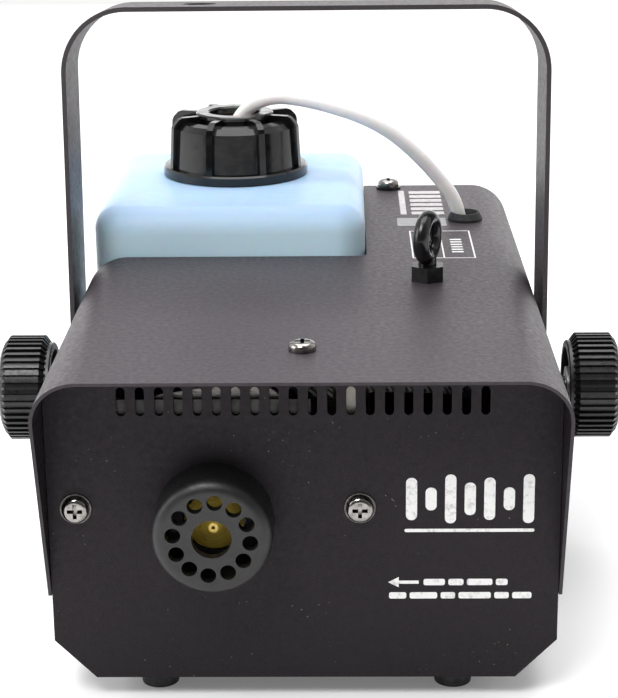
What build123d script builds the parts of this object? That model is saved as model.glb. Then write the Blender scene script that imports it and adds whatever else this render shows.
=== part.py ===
from build123d import *
import os
from math import cos, pi, radians, sin, tan

os.makedirs("parts", exist_ok=True)

# ---------------------------------------------------------------- driving dimensions, mm
# X = 0 is the middle of the case, the feet stand on Z = 0, the nozzle points to -Y, and Y = 0 is
# midway between the hood's front edge and the end of the remote socket.

# Case
CASE_WIDTH = 150.0
COVER_LENGTH = 244.5
REAR_PROUD = 6.5
FRONT_EDGE = -(COVER_LENGTH + REAR_PROUD) / 2
REAR_EDGE = FRONT_EDGE + COVER_LENGTH
CASE_TOP = 105.0
COVER_BOTTOM = 32.4
COVER_SHEET = 1.0
COVER_BEND = 14.0
HOOD_OVERHANG = 22.2
PANEL_SHEET = 1.2
PANEL_WIDTH = 147.6
PANEL_FACE = FRONT_EDGE + 21.85
PANEL_BACK = PANEL_FACE + PANEL_SHEET
REAR_FACE = REAR_EDGE - 2.0
REAR_INSIDE = REAR_FACE - PANEL_SHEET
FOOT_HEIGHT = 6.2
BEVEL = 12.0
FLANGE_TOP = 46.0
FLOOR = FOOT_HEIGHT + PANEL_SHEET
INNER_TOP = CASE_TOP - COVER_SHEET
COVER_INSIDE = CASE_WIDTH / 2 - COVER_SHEET

# Front panel
SLOT_COUNT = 20
SLOT_PITCH = 5.44
SLOT_WIDTH = 2.6
SLOT_HEIGHT = 8.6
SLOT_Z = 92.3
NOZZLE_X = -25.7
NOZZLE_Z = 56.4
SHROUD_RADIUS = 17.3
SHROUD_DEPTH = 15.0
SHROUD_HOLES = 12
SHROUD_HOLE_RADIUS = 2.25
SHROUD_HOLE_CIRCLE = 11.0
SHROUD_CENTRE_RADIUS = 5.7
SHROUD_TURN = 5.9
POST_TURN = 180 / SHROUD_HOLES - SHROUD_TURN
HEATER_SCREW_X = (-65.7, 16.2)
HEATER_SCREW_Z = 59.9

# Screws
M4_HEAD = 4.0
M4_HEAD_HEIGHT = 2.7
M4_SHANK = 1.95
M4_HOLE = 2.1
M3_SHANK = 1.45
M3_HOLE = 1.6

# Bracket, its pivot and the two knobs
PIVOT_Y = 1.5
PIVOT_Z = 62.0
BRACKET_OUTSIDE = 78.2
BRACKET_SHEET = 1.5
BRACKET_WIDTH = 30.0
BRACKET_RADIUS = 127.8
BRACKET_LEAN = 4.0
BRACKET_BEND = 21.0
BRACKET_EAR = 15.0
BRACKET_HOLE = 3.5
BAR_HOLE_RADIUS = 5.5
BAR_HOLE_X = -34.5
RIVET_RADIUS = 4.55
STUD_RADIUS = 3.0
STUD_BORE = 3.06
STUD_END = 67.0
KNOB_INSIDE = 86.3
KNOB_LENGTH = 17.7
KNOB_RADIUS = 17.65
KNOB_RIBS = 44
KNOB_VALLEY = 16.5
KNOB_RIB_WIDTH = 0.9

# Tank and cap
TANK_LEFT = -73.0
TANK_RIGHT = 19.1
TANK_FRONT = 11.5
TANK_REAR = 114.5
TANK_BOTTOM = 46.0
TANK_TOP = 120.5
TANK_WALL = 1.6
TANK_CORNER = 10.0
TANK_TOP_ROUND = 8.0
CUTOUT_RIGHT = 19.5
CUTOUT_FRONT = FRONT_EDGE + 135.74
CUTOUT_FLOOR = 80.0
CAP_X = -27.5
CAP_Y = 73.1
CAP_BASE = 120.9
CAP_HEIGHT = 22.2
CAP_FLANGE_RADIUS = 26.1
CAP_RIBS = 8
CAP_TURN = 3.5
NECK_RADIUS = 20.0
NECK_BORE = 17.8
NECK_TOP = 134.4

# Supply tube, from the pump's inlet over to the tank
TUBE_RADIUS = 2.5
SUPPLY_ROUTE = [
    (54.6, 61.9, 83.2),
    (56.1, 61.5, 107.0),
    (42.0, 63.2, 125.4),
    (25.0, 65.8, 139.8),
    (1.0, 69.2, 147.3),
    (-16.0, 71.9, 148.9),
    (-27.6, 73.1, 140.4),
    (-31.2, 73.2, 121.0),
    (-30.8, 73.0, 102.0),
    (-30.0, 73.0, 83.0),
    (-30.4, 73.0, 65.0),
]
GROMMET_X = 55.5
GROMMET_Y = 61.5

# Eye bolt on the cover
EYE_X = 38.6
EYE_Y = -20.5
EYE_WIRE = 2.5
EYE_MEAN_RADIUS = 6.3
EYE_NUT_HEIGHT = 5.0
EYE_TOP = 127.7
EYE_TURN = -22.0
EYE_HEX_TURN = 27.0

# Heater
HEATER_FRONT = -94.0
HEATER_REAR = -24.0
HEATER_WIDTH = 44.0
HEATER_HEIGHT = 40.0
HEATER_INLET_X = -12.0
HEATER_INLET_Z = 50.0
HEATER_INLET_Y = -11.0
THERMOSTAT_SHIFT = (-12.0, 15.0)

# Pump, which stands upright under the grommet
PUMP_X = 54.6
PUMP_Y = 61.9
PUMP_BORE = 5.0
PUMP_OUTLET_Z = 25.0
DELIVERY_ROUTE = [
    (1.0, -11.0, 50.0),
    (18.0, -11.0, 50.0),
    (34.0, -7.0, 40.0),
    (47.0, 5.0, 30.0),
    (54.6, 22.0, 25.0),
    (54.6, 43.8, 25.0),
]

# Wiring
SLEEVE_RADIUS = 2.75
HEATER_LEAD_ROUTE = [
    (-42.0, -78.0, 79.9),
    (-27.0, -85.0, 91.0),
    (-9.0, -91.0, 93.0),
    (9.1, -94.5, 93.0),
]
BOARD_LEAD_ROUTE = [
    (18.2, -94.0, 94.5),
    (33.0, -94.0, 94.5),
    (48.0, -87.0, 91.0),
    (56.5, -75.0, 81.0),
    (57.0, -71.0, 66.8),
]
MAINS_LOOM_ROUTE = [
    (56.0, -20.6, 26.0),
    (54.0, -6.0, 18.0),
    (37.0, 9.0, 12.5),
    (26.0, 34.0, 12.5),
    (26.0, 62.0, 15.0),
    (32.0, 78.0, 24.0),
    (40.0, 90.8, 33.0),
]

# Rear panel fittings, one above the other
REAR_X = 46.0
INLET_Z = 34.5
SOCKET_Z = 39.0
DRAWER_Z = 24.1
SWITCH_Z = 66.0
ROCKER_PIVOT_Y = REAR_FACE - 1.5
ROCKER_TILT = 9.0
REMOTE_Z = 87.0
REMOTE_END = -FRONT_EDGE
COVER_SCREWS = [(0.0, FRONT_EDGE + 29.7), (29.0, REAR_EDGE - 5.5)]

FEET = [(x, y) for x in (-44.0, 44.0) for y in (PANEL_FACE + 11.0, REAR_FACE - 12.0)]
SIDE_SCREW_Y = (-70.0, 85.0)
SIDE_SCREW_Z = 41.0


# ---------------------------------------------------------------- helpers
def section_at(y):
    """XZ section plane at y: local x is X, local y is Z, and a negative extrusion goes to +Y."""
    return Plane.XZ.offset(-y)


def facing_front(x, y, z):
    return Plane(origin=(x, y, z), x_dir=(1, 0, 0), z_dir=(0, -1, 0))


def facing_rear(x, y, z):
    return Plane(origin=(x, y, z), x_dir=(-1, 0, 0), z_dir=(0, 1, 0))


def facing_side(x, y, z):
    """Plane on a side wall: its normal points outwards, to the side that x lies on."""
    outwards = 1 if x > 0 else -1
    return Plane(origin=(x, y, z), x_dir=(0, outwards, 0), z_dir=(outwards, 0, 0))


def upright(x, y, z):
    return Plane.XY.offset(z).move(Location((x, y, 0)))


def disc(radius, height, mode=Mode.ADD):
    """Cylinder that stands on the current plane."""
    return Cylinder(radius, height, align=(Align.CENTER, Align.CENTER, Align.MIN), mode=mode)


def block(x_range, y_range, z_range, mode=Mode.ADD):
    """Box between two corners, in the object's own frame."""
    low = (x_range[0], y_range[0], z_range[0])
    size = (x_range[1] - x_range[0], y_range[1] - y_range[0], z_range[1] - z_range[0])
    with Locations(low):
        return Box(*size, align=(Align.MIN, Align.MIN, Align.MIN), mode=mode)


def arch(width, top, bottom, corner, bevel=0.0):
    """Section face: a rectangle with rounded top corners and, where asked, bevelled lower ones."""
    with BuildSketch() as face:
        with Locations((0, (top + bottom) / 2)):
            Rectangle(width, top - bottom)
        fillet(face.vertices().group_by(Axis.Y)[-1], corner)
        if bevel:
            chamfer(face.vertices().group_by(Axis.Y)[0], bevel)
    return face.sketch


def save(part, name):
    part.label = name
    export_step(part, "parts/" + name + ".step")


def screw(plane, head_radius, head_height, shank_radius, shank_length, cross=True):
    """Pan-head screw whose head sits on the plane and whose shank goes down from it."""
    with BuildPart(plane) as fastener:
        head = disc(head_radius, head_height)
        fillet(head.edges().filter_by(GeomType.CIRCLE).sort_by_distance(plane.origin)[-1:],
               head_height * 0.6)
        with Locations((0, 0, -shank_length)):
            disc(shank_radius, shank_length)
        if cross:
            with Locations((0, 0, head_height * 0.45)):
                for turn in (0, 90):
                    Box(head_radius * 1.1, head_radius * 0.28, head_height, rotation=(0, 0, turn),
                        align=(Align.CENTER, Align.CENTER, Align.MIN), mode=Mode.SUBTRACT)
    return fastener.part


def nut(plane, across_flats, height, bore):
    """Hexagon nut that stands on the plane."""
    with BuildPart(plane) as hexagon:
        with BuildSketch(plane):
            RegularPolygon(across_flats / 2, 6, major_radius=False)
            Circle(bore, mode=Mode.SUBTRACT)
        extrude(amount=height)
    return hexagon.part


def group(solids, name):
    """Several equal pieces in one node, each a solid of its own."""
    save(Compound(children=solids), name)


def bend_radii(route):
    """One radius for each corner: 0.45 of the shorter run over the tangent of half the turn."""
    points = [Vector(*point) for point in route]
    radii = []
    for before, corner, after in zip(points, points[1:], points[2:]):
        turn = (corner - before).get_angle(after - corner)
        shorter = min((corner - before).length, (after - corner).length)
        radii.append(0.45 * shorter / tan(radians(turn) / 2))
    return radii


def hose(route, radius, name):
    """Round tube along straight runs joined by tangent arcs; prints its radii and its volume."""
    radii = bend_radii(route)
    with BuildPart() as tube:
        with BuildLine() as path:
            FilletPolyline(*route, radius=radii)
        with BuildSketch(Plane(origin=route[0], z_dir=Vector(*route[1]) - Vector(*route[0]))):
            Circle(radius)
        sweep(path=path.wires()[0])
    length = path.wires()[0].length
    print(name, "length", round(length, 1), "volume / section x length",
          round(tube.part.volume / (pi * radius ** 2 * length), 4),
          "radii", [round(bend, 1) for bend in radii])
    return tube.part


# ---------------------------------------------------------------- case
def make_cover():
    seats = side_screw_seats()
    with BuildPart() as cover:
        with BuildSketch(section_at(FRONT_EDGE)):
            add(arch(CASE_WIDTH, CASE_TOP, COVER_BOTTOM, COVER_BEND))
            add(arch(2 * COVER_INSIDE, INNER_TOP, COVER_BOTTOM - 1, COVER_BEND - COVER_SHEET),
                mode=Mode.SUBTRACT)
        extrude(amount=-COVER_LENGTH)
        with BuildSketch(Plane.YZ):
            Polygon((FRONT_EDGE - 1, CASE_TOP), (FRONT_EDGE, CASE_TOP),
                    (FRONT_EDGE + HOOD_OVERHANG, COVER_BOTTOM),
                    (FRONT_EDGE + HOOD_OVERHANG, COVER_BOTTOM - 1),
                    (FRONT_EDGE - 1, COVER_BOTTOM - 1), align=None)
        extrude(amount=CASE_WIDTH, both=True, mode=Mode.SUBTRACT)
        # Tank cut-out in the top, open to the rear, with a window down the left side
        with BuildSketch(Plane.XY.offset(CUTOUT_FLOOR)) as cutout:
            with Locations((CUTOUT_RIGHT, CUTOUT_FRONT)):
                Rectangle(CUTOUT_RIGHT + CASE_WIDTH, COVER_LENGTH, align=(Align.MAX, Align.MIN))
            fillet(cutout.vertices().group_by(Axis.Y)[0].sort_by(Axis.X)[-1], 3.0)
        extrude(amount=CASE_TOP, mode=Mode.SUBTRACT)
        with BuildSketch(Plane.XY.offset(CASE_TOP)):
            with Locations((GROMMET_X, GROMMET_Y)):
                Circle(5.3)
            with Locations((EYE_X, EYE_Y)):
                Circle(3.2)
            with Locations(*COVER_SCREWS):
                Circle(M4_HOLE)
        extrude(amount=-2 * COVER_SHEET, mode=Mode.SUBTRACT)
        with BuildSketch(Plane.YZ):
            with Locations((PIVOT_Y, PIVOT_Z)):
                Circle(RIVET_RADIUS)
        extrude(amount=CASE_WIDTH, both=True, mode=Mode.SUBTRACT)
        for seat in seats:
            add(seat, mode=Mode.SUBTRACT)
    save(cover.part, "cover")


def countersunk(x, y, gap):
    """Flush side screw, grown by a gap where it is used to cut its own seat."""
    with BuildPart(facing_side(x, y, SIDE_SCREW_Z)) as fastener:
        with Locations((0, 0, -0.7)):
            Cone(M3_SHANK + gap, 2.9 + gap, 1.4)
        with Locations((0, 0, -8)):
            disc(M3_SHANK + gap, 8)
    return fastener.part


def side_screw_seats():
    return [countersunk(x, y, 0.05) for x in (-CASE_WIDTH / 2, CASE_WIDTH / 2)
            for y in SIDE_SCREW_Y]


def make_base_pan():
    seats = side_screw_seats()
    outside = [(-PANEL_WIDTH / 2, FLANGE_TOP), (-PANEL_WIDTH / 2, FOOT_HEIGHT + BEVEL),
               (-PANEL_WIDTH / 2 + BEVEL, FOOT_HEIGHT)]
    slope = PANEL_SHEET * tan(radians(22.5))
    inside = [(-PANEL_WIDTH / 2 + PANEL_SHEET, FLANGE_TOP),
              (-PANEL_WIDTH / 2 + PANEL_SHEET, FOOT_HEIGHT + BEVEL + slope),
              (-PANEL_WIDTH / 2 + BEVEL + slope, FLOOR)]
    outline = outside + [(-x, z) for x, z in reversed(outside)]
    outline += inside_mirrored(inside)
    with BuildPart() as pan:
        with BuildSketch(section_at(PANEL_BACK)):
            Polygon(*outline, align=None)
        extrude(amount=-(REAR_INSIDE - PANEL_BACK))
        with BuildSketch(Plane.XY.offset(FLOOR)):
            with Locations((NOZZLE_X, -52.0)):
                with GridLocations(12.0, 34.0, 5, 2):
                    SlotOverall(24.0, 4.0, rotation=90)
            with Locations(*FEET):
                Circle(M3_HOLE)
        extrude(amount=-2 * PANEL_SHEET, mode=Mode.SUBTRACT)
        for seat in seats:
            add(seat, mode=Mode.SUBTRACT)
    save(pan.part, "base_pan")


def inside_mirrored(points):
    """Inner outline run back from right to left."""
    return [(-x, z) for x, z in points] + list(reversed(points))


def panel_blank(lead_in=0.25):
    """Face of an end panel: it fills the cover's section down to the bevelled base."""
    return arch(PANEL_WIDTH, INNER_TOP - lead_in, FOOT_HEIGHT, COVER_BEND - COVER_SHEET, BEVEL)


def make_front_panel():
    slot_row = SLOT_PITCH * (SLOT_COUNT - 1) / 2
    with BuildPart() as panel:
        with BuildSketch(section_at(PANEL_FACE)):
            add(panel_blank())
            with Locations((0.15, SLOT_Z)):
                with Locations(*[(SLOT_PITCH * n - slot_row, 0) for n in range(SLOT_COUNT)]):
                    SlotOverall(SLOT_HEIGHT, SLOT_WIDTH, rotation=90, mode=Mode.SUBTRACT)
            with Locations((NOZZLE_X, NOZZLE_Z)):
                Circle(9.4, mode=Mode.SUBTRACT)
                with PolarLocations(12.0, 2, start_angle=POST_TURN):
                    Circle(1.5, mode=Mode.SUBTRACT)
            with Locations(*[(x, HEATER_SCREW_Z) for x in HEATER_SCREW_X]):
                Circle(M4_HOLE, mode=Mode.SUBTRACT)
        extrude(amount=-PANEL_SHEET)
        block((-30, 30), (PANEL_BACK - 0.2, PANEL_BACK + 12), (INNER_TOP - PANEL_SHEET, INNER_TOP))
        with BuildSketch(Plane.XY.offset(CASE_TOP)):
            with Locations(COVER_SCREWS[0]):
                Circle(M4_SHANK + 0.05)
        extrude(amount=-4, mode=Mode.SUBTRACT)
    save(panel.part, "front_panel")


def make_rear_panel():
    with BuildPart() as panel:
        with BuildSketch(section_at(REAR_INSIDE)):
            add(panel_blank())
            with Locations((REAR_X, INLET_Z)):
                Rectangle(29.0, 31.0, mode=Mode.SUBTRACT)
                with Locations((-20, 0), (20, 0)):
                    Circle(M3_HOLE, mode=Mode.SUBTRACT)
            with Locations((REAR_X, SWITCH_Z)):
                Rectangle(19.4, 15.4, mode=Mode.SUBTRACT)
            with Locations((REAR_X, REMOTE_Z)):
                Circle(7.1, mode=Mode.SUBTRACT)
            with Locations((-28.0, 22.0)):
                with GridLocations(SLOT_PITCH * 1.5, 1, 8, 1):
                    SlotOverall(14.0, 3.0, rotation=90, mode=Mode.SUBTRACT)
        extrude(amount=-PANEL_SHEET)
        block((22.5, 44), (REAR_INSIDE - 9, REAR_INSIDE + 0.2), (INNER_TOP - PANEL_SHEET, INNER_TOP))
        with BuildSketch(Plane.XY.offset(CASE_TOP)):
            with Locations(COVER_SCREWS[1]):
                Circle(M4_SHANK + 0.05)
        extrude(amount=-4, mode=Mode.SUBTRACT)
    save(panel.part, "rear_panel")


def make_feet():
    feet = []
    screws = []
    for x, y in FEET:
        with BuildPart(upright(x, y, 0)) as foot:
            with Locations((0, 0, FOOT_HEIGHT / 2)):
                Cone(5.5, 6.3, FOOT_HEIGHT)
            disc(3.2, 3.0, mode=Mode.SUBTRACT)
            disc(M3_HOLE, FOOT_HEIGHT, mode=Mode.SUBTRACT)
        feet.append(foot.part)
        with BuildPart(upright(x, y, 0)) as fastener:
            with Locations((0, 0, 1.2)):
                disc(2.8, 1.8)
            with Locations((0, 0, 3.0)):
                disc(M3_SHANK, 8.0)
        screws.append(fastener.part)
    group(feet, "feet")
    group(screws, "foot_screws")


def make_case_screws():
    washer_height = 0.9
    seats = [CASE_TOP, CASE_TOP + washer_height]
    group([screw(upright(x, y, seat), M4_HEAD, M4_HEAD_HEIGHT, M4_SHANK, 7.0)
           for (x, y), seat in zip(COVER_SCREWS, seats)], "cover_top_screws")
    with BuildPart(upright(*COVER_SCREWS[1], CASE_TOP)) as washer:
        disc(4.7, washer_height)
        disc(M4_HOLE, washer_height, mode=Mode.SUBTRACT)
        with PolarLocations(5.1, 16):
            Box(1.0, 0.8, 2 * washer_height, mode=Mode.SUBTRACT)
    save(washer.part, "cover_screw_washer")
    group([screw(facing_front(x, PANEL_FACE, HEATER_SCREW_Z), M4_HEAD, M4_HEAD_HEIGHT,
                 M4_SHANK, 8.0) for x in HEATER_SCREW_X], "front_panel_screws")
    group([countersunk(x, y, 0) for x in (-CASE_WIDTH / 2, CASE_WIDTH / 2)
           for y in SIDE_SCREW_Y], "cover_side_screws")


# ---------------------------------------------------------------- nozzle and heater
def make_nozzle_shroud():
    with BuildPart(facing_front(NOZZLE_X, PANEL_FACE, NOZZLE_Z)) as shroud:
        cup = disc(SHROUD_RADIUS, SHROUD_DEPTH)
        fillet(cup.edges().filter_by(GeomType.CIRCLE).sort_by(Axis.Y)[0], 3.7)
        disc(SHROUD_RADIUS - 2.4, SHROUD_DEPTH - 3.0, mode=Mode.SUBTRACT)
        disc(SHROUD_CENTRE_RADIUS, SHROUD_DEPTH, mode=Mode.SUBTRACT)
        with PolarLocations(SHROUD_HOLE_CIRCLE, SHROUD_HOLES, start_angle=90 - SHROUD_TURN):
            disc(SHROUD_HOLE_RADIUS, SHROUD_DEPTH, mode=Mode.SUBTRACT)
        # Two ribs run down the inside and end in posts that fit the panel
        with PolarLocations(14.2, 2, start_angle=POST_TURN):
            Box(3.0, 1.6, SHROUD_DEPTH - 3.0, align=(Align.CENTER, Align.CENTER, Align.MIN))
        with Locations((0, 0, -2.5)):
            with PolarLocations(12.0, 2, start_angle=POST_TURN):
                disc(1.45, 4.0)
    save(shroud.part, "nozzle_shroud")


def make_nozzle():
    with BuildPart() as nozzle:
        with BuildSketch(Plane.XZ):
            with BuildLine():
                Polyline((0.5, 0), (5.0, 0), (5.0, 5.5), (8.6, 5.5), (8.6, 11.0), (7.6, 12.0),
                         (2.2, 16.0), (1.4, 16.4), (0.5, 16.4), close=True)
            make_face()
        revolve(axis=Axis.Z)
    tip = nozzle.part.moved(facing_front(NOZZLE_X, HEATER_FRONT + 0.5, NOZZLE_Z).location)
    save(tip, "nozzle")


def make_heater():
    middle_y = (HEATER_FRONT + HEATER_REAR) / 2
    length = HEATER_REAR - HEATER_FRONT
    with BuildPart() as body:
        with BuildSketch(section_at(HEATER_FRONT)):
            with Locations((NOZZLE_X, NOZZLE_Z)):
                RectangleRounded(HEATER_WIDTH, HEATER_HEIGHT, 7.0)
        extrude(amount=-length)
        with BuildSketch(facing_front(NOZZLE_X, HEATER_FRONT, NOZZLE_Z)):
            Circle(9.0)
        extrude(amount=5.0)
        with BuildSketch(facing_front(NOZZLE_X, HEATER_FRONT - 5.0, NOZZLE_Z)):
            Circle(5.1)
        extrude(amount=-6.0, mode=Mode.SUBTRACT)
        with BuildSketch(facing_rear(HEATER_INLET_X, HEATER_REAR, HEATER_INLET_Z)):
            Circle(3.1)
        extrude(amount=-12.0, mode=Mode.SUBTRACT)
    save(body.part, "heater_block")

    wrap = 9.0
    with BuildPart() as blanket:
        with BuildSketch(section_at(HEATER_FRONT + 0.5)):
            with Locations((NOZZLE_X, NOZZLE_Z + 1.2)):
                RectangleRounded(HEATER_WIDTH + 2 * wrap, HEATER_HEIGHT + 2.5 * wrap, 12.0)
            with Locations((NOZZLE_X, NOZZLE_Z)):
                RectangleRounded(HEATER_WIDTH + 0.2, HEATER_HEIGHT + 0.2, 7.1, mode=Mode.SUBTRACT)
        extrude(amount=-(length - 1.5))
        with BuildSketch(Plane.YZ.offset(NOZZLE_X + HEATER_WIDTH / 2)):
            with Locations(*[(middle_y + shift, NOZZLE_Z) for shift in THERMOSTAT_SHIFT]):
                Circle(10.5)
        extrude(amount=wrap + 1, mode=Mode.SUBTRACT)
        with BuildSketch(Plane.XY.offset(NOZZLE_Z + HEATER_HEIGHT / 2)):
            with Locations((-35.5, -82.5)):
                Rectangle(29.0, 20.0)
        extrude(amount=20, mode=Mode.SUBTRACT)
    save(blanket.part, "heater_insulation")

    side = NOZZLE_X + HEATER_WIDTH / 2
    for name, shift in zip(("control_thermostat", "thermal_cutout"), THERMOSTAT_SHIFT):
        mount = Plane(origin=(side, middle_y + shift, NOZZLE_Z), x_dir=(0, 1, 0), z_dir=(1, 0, 0))
        with BuildPart(mount) as switch:
            disc(8.0, 1.2)
            disc(6.2, 9.5)
            with Locations((0, -3.5, 9.5), (0, 3.5, 9.5)):
                Box(6.3, 0.8, 5.0, align=(Align.CENTER, Align.CENTER, Align.MIN))
        save(switch.part, name)

    with BuildPart() as front_bracket:
        with BuildSketch(section_at(PANEL_BACK)):
            with Locations((NOZZLE_X + 1.0, NOZZLE_Z)):
                Rectangle(92.0, 44.0)
            with Locations((NOZZLE_X - 3.0, 50.0)):
                Rectangle(62.0, 85.0)
            with Locations((NOZZLE_X, NOZZLE_Z)):
                Circle(9.3, mode=Mode.SUBTRACT)
                with PolarLocations(12.0, 2, start_angle=POST_TURN):
                    Circle(1.6, mode=Mode.SUBTRACT)
            with Locations(*[(x, HEATER_SCREW_Z) for x in HEATER_SCREW_X]):
                Circle(M4_SHANK + 0.05, mode=Mode.SUBTRACT)
        extrude(amount=-1.5)
    save(front_bracket.part, "heater_front_bracket")

    with BuildPart() as rear_bracket:
        with BuildSketch(section_at(HEATER_REAR)):
            with Locations((NOZZLE_X, FLOOR)):
                Rectangle(34.0, 62.0, align=(Align.CENTER, Align.MIN))
            with Locations((HEATER_INLET_X, HEATER_INLET_Z)):
                Circle(3.4, mode=Mode.SUBTRACT)
        extrude(amount=-1.5)
        block((NOZZLE_X - 17, NOZZLE_X + 17), (HEATER_REAR, HEATER_REAR + 12), (FLOOR, FLOOR + 1.5))
    save(rear_bracket.part, "heater_rear_bracket")

    with BuildPart() as elbow:
        with BuildSketch(facing_rear(HEATER_INLET_X, HEATER_REAR - 8.0, HEATER_INLET_Z)):
            Circle(3.0)
        extrude(amount=HEATER_INLET_Y - HEATER_REAR + 8.0)
        with BuildSketch(Plane.YZ.offset(HEATER_INLET_X)):
            with Locations((HEATER_INLET_Y, HEATER_INLET_Z)):
                Circle(3.8)
        extrude(amount=6.0)
        with BuildSketch(Plane.YZ.offset(HEATER_INLET_X - 3.8)):
            with Locations((HEATER_INLET_Y, HEATER_INLET_Z)):
                Circle(3.8)
        extrude(amount=3.8)
        with BuildSketch(Plane.YZ.offset(HEATER_INLET_X + 6.0)):
            with Locations((HEATER_INLET_Y, HEATER_INLET_Z)):
                Circle(2.4)
        extrude(amount=DELIVERY_ROUTE[0][0] - HEATER_INLET_X - 6.0)
        # Compression nut round the tube's end
        with BuildSketch(Plane.YZ.offset(DELIVERY_ROUTE[0][0] - 3.0)):
            with Locations((HEATER_INLET_Y, HEATER_INLET_Z)):
                RegularPolygon(4.5, 6, major_radius=False)
        extrude(amount=7.5)
        with BuildSketch(Plane.YZ.offset(DELIVERY_ROUTE[0][0])):
            with Locations((HEATER_INLET_Y, HEATER_INLET_Z)):
                Circle(TUBE_RADIUS + 0.3)
        extrude(amount=5.0, mode=Mode.SUBTRACT)
    save(elbow.part, "heater_inlet_elbow")


# ---------------------------------------------------------------- tank, cap and tube
def tank_body(inset):
    """Outside of the bottle, or its inside when the inset is the wall thickness."""
    with BuildPart() as bottle:
        with BuildSketch(Plane.XY.offset(TANK_BOTTOM + inset)):
            with Locations(((TANK_LEFT + TANK_RIGHT) / 2, (TANK_FRONT + TANK_REAR) / 2)):
                RectangleRounded(TANK_RIGHT - TANK_LEFT - 2 * inset,
                                 TANK_REAR - TANK_FRONT - 2 * inset, TANK_CORNER - inset)
        extrude(amount=TANK_TOP - TANK_BOTTOM - 2 * inset)
        fillet(bottle.edges().group_by(Axis.Z)[-1], TANK_TOP_ROUND - inset)
        fillet(bottle.edges().group_by(Axis.Z)[0], 4.0 - inset)
    return bottle.part


def make_tank():
    outside = tank_body(0)
    inside = tank_body(TANK_WALL)
    with BuildPart() as tank:
        add(outside)
        add(inside, mode=Mode.SUBTRACT)
        with BuildSketch(upright(CAP_X, CAP_Y, TANK_TOP - TANK_WALL)):
            Circle(NECK_RADIUS)
        extrude(amount=NECK_TOP - TANK_TOP + TANK_WALL)
        for turn in (0, 1, 2):
            with BuildSketch(upright(CAP_X, CAP_Y, TANK_TOP + 4.0 + 4.0 * turn)):
                Circle(NECK_RADIUS + 0.9)
            extrude(amount=1.4)
        with BuildSketch(upright(CAP_X, CAP_Y, TANK_TOP - 2 * TANK_WALL)):
            Circle(NECK_BORE)
        extrude(amount=NECK_TOP, mode=Mode.SUBTRACT)
    save(tank.part, "tank")


def make_tank_cap():
    with BuildPart() as rib:
        with BuildSketch(Plane.XZ):
            with BuildLine():
                Polyline((21.8, 2.9), (25.0, 2.9), (24.2, 17.8), (23.6, 19.2), (21.8, 21.0),
                         (20.4, 21.5), (13.2, 21.5), (13.2, 17.3), (21.8, 17.3), close=True)
            make_face()
        extrude(amount=1.15, both=True)
    with BuildPart() as cap:
        with BuildSketch(Plane.XZ):
            with BuildLine():
                Polyline((5.95, 15.7), (21.3, 15.7), (21.3, 0), (CAP_FLANGE_RADIUS, 0),
                         (CAP_FLANGE_RADIUS, 2.6), (25.5, 3.2), (23.5, 3.4), (22.6, 17.3),
                         (20.8, 19.2), (17.4, 19.7), (15.2, 18.3), (12.9, 18.3), (12.9, 20.0),
                         (13.9, 20.6), (13.9, 21.7), (13.4, CAP_HEIGHT), (9.8, CAP_HEIGHT),
                         (9.2, 21.6), (9.2, 18.4), (5.95, 18.4), close=True)
            make_face()
        revolve(axis=Axis.Z)
        for number in range(CAP_RIBS):
            add(rib.part.rotate(Axis.Z, 360 / CAP_RIBS * (number + 0.5) + CAP_TURN))
    save(cap.part.moved(Location((CAP_X, CAP_Y, CAP_BASE))), "tank_cap")
    with BuildPart(upright(CAP_X, CAP_Y, NECK_TOP + 0.4)) as seal:
        disc(20.8, 1.4)
        disc(8.0, 1.4, mode=Mode.SUBTRACT)
    save(seal.part, "cap_seal")
    with BuildPart(upright(CAP_X, CAP_Y, CAP_BASE + 15.7)) as bush:
        disc(5.9, 3.5)
        disc(4.9, 3.5, mode=Mode.SUBTRACT)
    save(bush.part, "cap_bush")


def make_pickup_filter():
    end_x, end_y, end_z = SUPPLY_ROUTE[-1]
    with BuildPart(upright(end_x, end_y, TANK_BOTTOM + TANK_WALL + 0.5)) as pickup:
        disc(7.0, 11.0)
        disc(3.6, end_z - TANK_BOTTOM - TANK_WALL - 0.6)
        with PolarLocations(7.0, 10):
            Box(1.6, 1.6, 8.0, align=(Align.CENTER, Align.CENTER, Align.MIN), mode=Mode.SUBTRACT)
    save(pickup.part, "pickup_filter")


def make_grommet():
    with BuildPart() as grommet:
        with BuildSketch(Plane.XZ):
            with BuildLine():
                Polyline((3.7, -2.6), (6.6, -2.6), (6.6, -1.0), (5.2, -1.0), (5.2, 0),
                         (6.2, 0), (6.2, 0.9), (5.1, 2.9), (4.6, 2.9), (3.7, 0), close=True)
            make_face()
        revolve(axis=Axis.Z)
    save(grommet.part.moved(Location((GROMMET_X, GROMMET_Y, CASE_TOP))), "tube_grommet")


def make_tank_tray():
    left = -PANEL_WIDTH / 2 + PANEL_SHEET
    front = CUTOUT_FRONT - 1.2
    with BuildPart() as tray:
        block((left, 20.6), (front, REAR_INSIDE), (TANK_BOTTOM - 1, TANK_BOTTOM))
        block((19.6, 20.6), (front, REAR_INSIDE), (TANK_BOTTOM - 1, INNER_TOP - 0.3))
        block((left, 20.6), (front, front + 1), (TANK_BOTTOM - 1, INNER_TOP - 9))
        block((-56, -34), (front, front + 1), (FLOOR, TANK_BOTTOM))
        block((-56, -34), (front, front + 12), (FLOOR, FLOOR + 1))
    save(tray.part, "tank_tray")


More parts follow.
